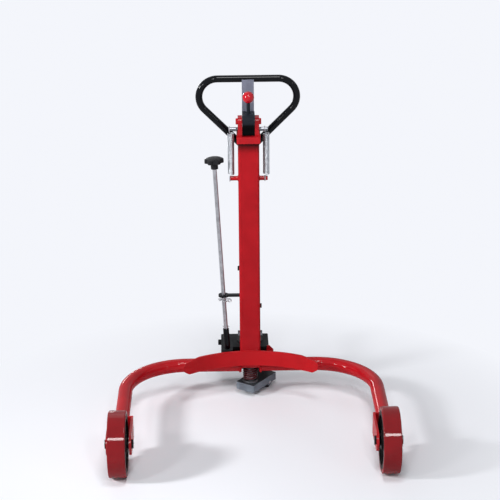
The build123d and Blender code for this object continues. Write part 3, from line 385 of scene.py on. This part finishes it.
def make_world():
    """Pale all round for the camera and for mirrors, and a dimmer even light for the rest."""
    world = bpy.data.worlds.new("studio")
    scene.world = world
    world.use_nodes = True
    tree = world.node_tree
    lit = tree.nodes["Background"]
    lit.inputs["Color"].default_value = (*PALE, 1)
    lit.inputs["Strength"].default_value = WORLD_STRENGTH
    shown = add_node(tree, "ShaderNodeBackground", Color=(*PALE, 1), Strength=1.0)
    show_mix(tree, seen_ray(tree), lit.outputs["Background"], shown.outputs["Background"], "World Output")


def make_lamps():
    """Rectangular lamps, each with its first side level with the floor, aimed at a point."""
    for name, at, aim, size, watts in LAMPS:
        data = bpy.data.lights.new(name, "AREA")
        data.shape = "RECTANGLE"
        data.size, data.size_y = size
        data.energy = watts
        lamp = bpy.data.objects.new(name, data)
        lamp.location = at
        lamp.rotation_euler = (Vector(aim) - Vector(at)).to_track_quat("-Z", "Y").to_euler()
        lamp.visible_camera = False
        scene.collection.objects.link(lamp)


def in_row(point):
    """A point in metres in the row's frame, from one in millimetres from the mast axis."""
    x, y, z = point
    return Vector((x * MM, y * MM + MAST_Y, z * MM))


def node_box_mm(node):
    """A node's corners in millimetres from the mast axis."""
    low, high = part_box(node)
    return [[c[0] / MM, (c[1] - MAST_Y) / MM, c[2] / MM] for c in (low, high)]


def middle_of(box, axis):
    """Middle of a box along an axis, 0 for X, 1 for Y, 2 for Z."""
    return (box[0][axis] + box[1][axis]) / 2


def half_of(box, axis):
    """Half of a box's size along an axis."""
    return (box[1][axis] - box[0][axis]) / 2


TUBE_SIDES = 10


def finish_piece(name, work, body, slot_name, smooth=True):
    """Turns a bmesh into a piece with a slot's finish that rides on a body, or on none if body is None."""
    bmesh.ops.recalc_face_normals(work, faces=work.faces)
    mesh = bpy.data.meshes.new(name)
    work.to_mesh(mesh)
    work.free()
    for face in mesh.polygons:
        face.use_smooth = smooth
    mesh.materials.append(FINISHES[slot_name])
    piece = bpy.data.objects.new(name, mesh)
    scene.collection.objects.link(piece)
    if body is not None:
        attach(piece, body)
    return piece


def sweep_tube(work, points, radii, closed, sides=TUBE_SIDES):
    """Adds a round tube along points, each with its own radius."""
    count = len(points)
    rings = []
    side = None
    for i, point in enumerate(points):
        ahead = points[(i + 1) % count] if closed or i + 1 < count else point
        behind = points[i - 1] if closed or i else point
        along = (ahead - behind).normalized()
        if side is None:
            side = along.orthogonal().normalized()
        side = (side - along * side.dot(along)).normalized()
        other = along.cross(side)
        ring = []
        for k in range(sides):
            angle = math.tau * k / sides
            offset = math.cos(angle) * side + math.sin(angle) * other
            ring.append(work.verts.new(point + offset * radii[i]))
        rings.append(ring)
    pairs = list(zip(rings, rings[1:]))
    if closed:
        last, first = rings[-1], rings[0]
        near = min(range(sides), key=lambda k: (last[0].co - first[k].co).length)
        pairs.append((last, first[near:] + first[:near]))
    for one, two in pairs:
        for k in range(sides):
            work.faces.new((one[k], one[(k + 1) % sides], two[(k + 1) % sides], two[k]))
    if not closed:
        work.faces.new(rings[0][::-1])
        work.faces.new(rings[-1])


# Weld beads, in millimetres: the step along them, their ripples, and how an open bead starts and grows
BEAD_STEP = 0.8
BEAD_LEAST_STEPS = 6
RIPPLE_RUN = 3.2
RIPPLE_PART = 0.16
BEAD_END_PART = 0.35
BEAD_GROWTH = 0.25
# Each bead's radius, and how far it lies along and out from the joint that it fills
LEG_BEAD = 2.6
LEG_BEAD_ALONG = 1.0
LEG_BEAD_OUT = 0.8
PEG_BEAD = 1.2
PEG_BEAD_ALONG = 0.5
PEG_BEAD_OUT = 0.3
SADDLE_BEAD = 1.8
SADDLE_BEAD_INSET = 8
SADDLE_BEAD_OUT = 0.8
EAR_BEAD = 1.3
EAR_BEAD_INSET = 2
EAR_BEAD_OUT = 0.4
EAR_BEAD_UP = 0.6
# The handle's beads lie beside its two lower legs and over the guide bar's end. Across, back and down are
# parts of the tube's radius.
HANDLE_BEAD = 1.5
HANDLE_LEG_X = 10.5
LEG_RUN_FROM = 3
LEG_RUN_TO = 46
LEG_RUN_ACROSS = 0.55
LEG_RUN_BACK = 0.16
BAR_RUN_INSET = 2
BAR_RUN_DOWN = 0.6
BAR_RUN_BACK = 0.2


def straight(first, last):
    """Points along a straight bead."""
    count = max(BEAD_LEAST_STEPS, int(math.dist(first, last) / BEAD_STEP))
    return [tuple(a + (b - a) * i / count for a, b in zip(first, last)) for i in range(count + 1)]


def ring_points(centre, radius, axis):
    """Points on a circle about a row axis, 0 for X, 1 for Y, 2 for Z."""
    count = int(math.tau * radius / BEAD_STEP)
    made = []
    for i in range(count):
        angle = math.tau * i / count
        flat = [radius * math.cos(angle), radius * math.sin(angle)]
        flat.insert(axis, 0.0)
        made.append(tuple(c + o for c, o in zip(centre, flat)))
    return made


def weld(name, runs, radius, body, slot_name):
    """Rippled weld beads along runs of (points, closed) in millimetres from the mast axis."""
    work = bmesh.new()
    for points, closed in runs:
        placed = [in_row(point) for point in points]
        travelled = 0.0
        radii = []
        for i, point in enumerate(placed):
            travelled += (point - placed[i - 1]).length if i else 0.0
            ripple = math.sin(math.tau * travelled / (RIPPLE_RUN * MM))
            from_end = min(i, len(placed) - 1 - i)
            end = 1.0 if closed else min(1.0, BEAD_END_PART + BEAD_GROWTH * from_end)
            radii.append(radius * MM * end * (1 + RIPPLE_PART * ripple))
        sweep_tube(work, placed, radii, closed)
    finish_piece(name, work, body, slot_name)


def make_frame_welds():
    """Beads round the legs and pegs at the mast, round the legs at the yokes, and along the saddle."""
    half = node_box_mm("mast_tube")[1][0]
    leg = node_box_mm("leg_right")
    tube_r = half_of(leg, 2)
    tube_z = middle_of(leg, 2)
    leg_x = leg[1][0] - tube_r
    leg_end = leg[0][1] + LEG_BEAD_ALONG
    leg_ring = tube_r + LEG_BEAD_OUT
    peg = node_box_mm("spring_pegs")
    peg_y = middle_of(peg, 1)
    peg_z = middle_of(peg, 2)
    peg_ring = half_of(peg, 2) + PEG_BEAD_OUT
    legs = []
    pegs = []
    for sign in (-1, 1):
        legs.append((ring_points((sign * (half + LEG_BEAD_ALONG), 0, tube_z), leg_ring, 0), True))
        legs.append((ring_points((sign * leg_x, leg_end, tube_z), leg_ring, 1), True))
        pegs.append((ring_points((sign * (half + PEG_BEAD_ALONG), peg_y, peg_z), peg_ring, 0), True))
    weld("leg_welds", legs, LEG_BEAD, "frame", "red_paint")
    weld("peg_welds", pegs, PEG_BEAD, "frame", "red_paint")

    runs = []
    x = half - SADDLE_BEAD_INSET
    y = -half - SADDLE_BEAD_OUT
    for corner in node_box_mm("saddle"):
        runs.append((straight((-x, y, corner[2]), (x, y, corner[2])), False))
    weld("saddle_welds", runs, SADDLE_BEAD, "frame", "red_paint")


def make_handle_welds():
    """Beads beside the handle's lower legs and across the end of the guide bar."""
    handle = node_box_mm("handle")
    bar = node_box_mm("guide_bar")
    tube = half_of(handle, 1)
    low = handle[0][2]
    runs = []
    for sign in (-1, 1):
        x = sign * (HANDLE_LEG_X + tube * LEG_RUN_ACROSS)
        y = bar[1][1] + tube * LEG_RUN_BACK
        runs.append((straight((x, y, low + LEG_RUN_FROM), (x, y, low + LEG_RUN_TO)), False))
    z = bar[1][2] - tube * BAR_RUN_DOWN
    y = bar[1][1] + tube * BAR_RUN_BACK
    runs.append((straight((bar[0][0] + BAR_RUN_INSET, y, z), (bar[1][0] - BAR_RUN_INSET, y, z)), False))
    weld("handle_welds", runs, HANDLE_BEAD, "frame", "black_paint")


def make_ear_welds():
    """A bead along the foot of each ear's outer side."""
    runs = []
    for side in ("left", "right"):
        ear = node_box_mm(f"ear_{side}")
        x = ear[0][0] - EAR_BEAD_OUT if side == "left" else ear[1][0] + EAR_BEAD_OUT
        z = ear[0][2] + EAR_BEAD_UP
        runs.append((straight((x, ear[0][1] + EAR_BEAD_INSET, z), (x, ear[1][1] - EAR_BEAD_INSET, z)), False))
    weld("ear_welds", runs, EAR_BEAD, "grab_head", "red_paint")


# Ribs in the wheels' dishes and shields on their bearings, in millimetres
RIBS = 6
RIB_T = 5.0
RIB_TAPER = 0.7
RIB_SINK = 3.0
RIB_OVERLAP = 0.5
RIB_BEVEL = 0.7
RIB_BEVEL_STEPS = 2
HUB_R = 26.0
DISH_EDGE = 12.0
DISH_DEPTH = 14.4
SHIELD_INNER_R = 14.2
SHIELD_OUTER_R = 18.0
SHIELD_EDGE = 0.4
SHIELD_PROUD = 0.15
SHIELD_STEPS = 48


def make_ribs(side, tread, core):
    """Tapered ribs from hub to rim in both dishes of a wheel core."""
    centre_y = middle_of(tread, 1)
    centre_z = middle_of(tread, 2)
    r0 = HUB_R - RIB_OVERLAP
    r1 = half_of(core, 2) - DISH_EDGE + RIB_OVERLAP
    work = bmesh.new()
    for face, inward in ((tread[0][0], 1), (tread[1][0], -1)):
        x0 = face + inward * RIB_SINK
        x1 = face + inward * DISH_DEPTH
        for i in range(RIBS):
            turn = Matrix.Rotation(math.tau * i / RIBS, 4, "X")
            for vert in bmesh.ops.create_cube(work, size=1)["verts"]:
                taper = RIB_TAPER if vert.co.z > 0 else 1.0
                local = Vector((0, vert.co.y * RIB_T * taper, r0 + (vert.co.z + 0.5) * (r1 - r0)))
                turned = turn @ local
                x = x0 if vert.co.x < 0 else x1
                vert.co = in_row((x, turned.y + centre_y, turned.z + centre_z))
    bmesh.ops.bevel(work, geom=list(work.edges), offset=RIB_BEVEL * MM, segments=RIB_BEVEL_STEPS,
                    affect="EDGES")
    finish_piece(f"wheel_ribs_{side}", work, f"wheel_{side}", "black_core", smooth=False)


def make_shields(side, tread, core):
    """Thin ring with sloped edges on each face of a wheel core, over its bearing."""
    centre_y = middle_of(tread, 1)
    centre_z = middle_of(tread, 2)
    profile = [(SHIELD_INNER_R, 0), (SHIELD_INNER_R + SHIELD_EDGE, SHIELD_PROUD),
               (SHIELD_OUTER_R - SHIELD_EDGE, SHIELD_PROUD), (SHIELD_OUTER_R, 0)]
    count = len(profile)
    work = bmesh.new()
    for face, outward in ((core[0][0], -1), (core[1][0], 1)):
        rings = []
        for i in range(SHIELD_STEPS):
            angle = math.tau * i / SHIELD_STEPS
            ring = []
            for radius, proud in profile:
                y = centre_y + radius * math.cos(angle)
                z = centre_z + radius * math.sin(angle)
                ring.append(work.verts.new(in_row((face + outward * proud, y, z))))
            rings.append(ring)
        for one, two in zip(rings, rings[1:] + rings[:1]):
            for k in range(count):
                work.faces.new((one[k], one[(k + 1) % count], two[(k + 1) % count], two[k]))
    finish_piece(f"bearing_shields_{side}", work, f"wheel_{side}", "gland_black")


def make_wheel_details():
    """Ribs and bearing shields of both wheels."""
    for side in ("left", "right"):
        tread = node_box_mm(f"wheel_tread_{side}")
        core = node_box_mm(f"wheel_core_{side}")
        make_ribs(side, tread, core)
        make_shields(side, tread, core)


# Spring clip, in millimetres: a straight pin, a loop of part of a turn, and an arm that bows round the rod
CLIP_WIRE = 1.7
CLIP_SIDES = 12
CLIP_HALF = 17.0
CLIP_DROP = 9.0
CLIP_GAP = 0.4
CLIP_PIN_STEPS = 30
CLIP_LOOP = 4.0
CLIP_LOOP_PART = 0.78
CLIP_LOOP_OUT = 2.6
CLIP_LOOP_STEPS = 40
CLIP_ARM_SHORT = 7
CLIP_ARM_SAG = 1.5
CLIP_ARM_STEPS = 60
CLIP_BOW_FROM = 0.1
CLIP_BOW_RUN = 0.55


def make_clip():
    """Spring clip pinned through the release rod just under its guide, with a loop at one end."""
    rod = node_box_mm("release_rod")
    rod_r = half_of(rod, 1)
    z = node_box_mm("rod_guide")[0][2] - CLIP_DROP
    part = (z - rod[0][2]) / (rod[1][2] - rod[0][2])
    low_x = rod[1][0] - rod_r
    high_x = rod[0][0] + rod_r
    x = low_x + (high_x - low_x) * part
    y = middle_of(rod, 1)
    bow_out = rod_r + CLIP_WIRE + CLIP_GAP - CLIP_LOOP_OUT
    points = [(x - CLIP_HALF + 2 * CLIP_HALF * i / CLIP_PIN_STEPS, y, z) for i in range(CLIP_PIN_STEPS + 1)]
    for i in range(1, CLIP_LOOP_STEPS):
        angle = math.tau * CLIP_LOOP_PART * i / CLIP_LOOP_STEPS
        points.append((x + CLIP_HALF + CLIP_LOOP * math.sin(angle), y - CLIP_LOOP_OUT * i / CLIP_LOOP_STEPS,
                       z + CLIP_LOOP * (math.cos(angle) - 1)))
    bend = points[-1]
    for i in range(1, CLIP_ARM_STEPS + 1):
        k = i / CLIP_ARM_STEPS
        bow = math.sin(math.pi * min(1.0, max(0.0, (k - CLIP_BOW_FROM) / CLIP_BOW_RUN)))
        points.append((bend[0] - (2 * CLIP_HALF - CLIP_ARM_SHORT) * k, bend[1] - bow_out * bow,
                       bend[2] - CLIP_ARM_SAG * math.sin(math.tau * k)))
    work = bmesh.new()
    sweep_tube(work, [in_row(point) for point in points], [CLIP_WIRE * MM] * len(points), False, CLIP_SIDES)
    finish_piece("guide_clip", work, "release", "zinc")


# Lift springs, in millimetres: wire, turns each side of the middle, and hooks
PULL_WIRE = 2.8
PULL_HALF_TURNS = 17.25
PULL_HOOK_RUN = 12.5
PULL_BEND_R = 4.0
PULL_TIP_ANGLE = math.radians(60)
BEND_STEPS = 8
RUN_STEPS = 5
HOOK_STEPS = 24
# Springs that are pressed: piece, wire in millimetres, turns, the body that moves, and if the low end is held
PUSH_SPRINGS = {
    "plunger_spring": ("plunger_coil", 2.5, 5.0, "plunger", True),
    "castor_spring": ("castor_coil", 5.0, 6.0, "castor_slider", False),
}
COIL_STEPS = 30


def coil_points(radius, first, last, height):
    """Points along a helix about Z from one angle to another, evenly spread over a height about zero."""
    steps = round((last - first) / math.tau * COIL_STEPS)
    points = []
    for i in range(steps + 1):
        angle = first + (last - first) * i / steps
        points.append((radius * math.cos(angle), radius * math.sin(angle), height * (i / steps - 0.5)))
    return points


def pull_points(radius, coil_height):
    """Extension spring about its own middle: the coil, and at each end a hook over a bar along X."""
    half = PULL_HALF_TURNS * math.tau
    coil = coil_points(radius, -half, half, coil_height)
    top = coil_height / 2
    hook = []
    for i in range(1, BEND_STEPS + 1):
        angle = math.pi / 2 * i / BEND_STEPS
        hook.append((-PULL_BEND_R * math.sin(angle), radius, top + PULL_BEND_R * (1 - math.cos(angle))))
    bar = top + PULL_HOOK_RUN
    for i in range(1, RUN_STEPS):
        z = top + PULL_BEND_R + (PULL_HOOK_RUN - PULL_BEND_R) * i / RUN_STEPS
        hook.append((-PULL_BEND_R, radius, z))
    for i in range(HOOK_STEPS + 1):
        angle = (math.pi + PULL_TIP_ANGLE) * i / HOOK_STEPS
        hook.append((-PULL_BEND_R, radius * math.cos(angle), bar + radius * math.sin(angle)))
    low = [(x, -y, -z) for x, y, z in reversed(hook)]
    return low + coil + hook


def spring_sizes(node, wire):
    """A spring node's middle in metres, and the radius and height of its wire's line in millimetres."""
    low, high = (Vector(corner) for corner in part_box(node))
    return (low + high) / 2, (high.y - low.y) / MM / 2 - wire / 2, (high.z - low.z) / MM - wire


def stretch_coil(node, name, points, wire, middle, bodies, ends):
    """Wire piece in place of a spring node; each ring of the wire moves as one, so only the turns spread."""
    work = bmesh.new()
    placed = [middle + Vector(point) * MM for point in points]
    sweep_tube(work, placed, [wire / 2 * MM] * len(placed), False)
    piece = finish_piece(name, work, None, SLOTS[node])
    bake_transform(piece, *bodies, *ends)
    weights = piece.data.attributes["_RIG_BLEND"].data
    for ring in range(0, len(weights), TUBE_SIDES):
        share = sum(weights[ring + k].value for k in range(TUBE_SIDES)) / TUBE_SIDES
        for k in range(TUBE_SIDES):
            weights[ring + k].value = share
    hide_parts(node)


def make_springs():
    """The four coil springs, each held at one end by the frame and at the other by what moves."""
    for side in ("left", "right"):
        node = f"lift_spring_{side}"
        middle, radius, height = spring_sizes(node, PULL_WIRE)
        coil_height = height - 2 * (radius + PULL_HOOK_RUN)
        reach = Vector((0, 0, coil_height / 2 * MM))
        stretch_coil(node, f"lift_coil_{side}", pull_points(radius, coil_height), PULL_WIRE, middle,
                     ("frame", "grab_head"), (middle - reach, middle + reach))
    for node, (name, wire, turns, mover, held_low) in PUSH_SPRINGS.items():
        middle, radius, height = spring_sizes(node, wire)
        reach = Vector((0, 0, (height / 2 if held_low else -height / 2) * MM))
        stretch_coil(node, name, coil_points(radius, 0, turns * math.tau, height), wire, middle,
                     ("frame", mover), (middle - reach, middle + reach))


finish_nodes()
make_camera()
make_floor()
make_world()
make_lamps()
make_frame_welds()
make_handle_welds()
make_ear_welds()
make_wheel_details()
make_clip()
make_springs()

scene.view_settings.view_transform = "Standard"
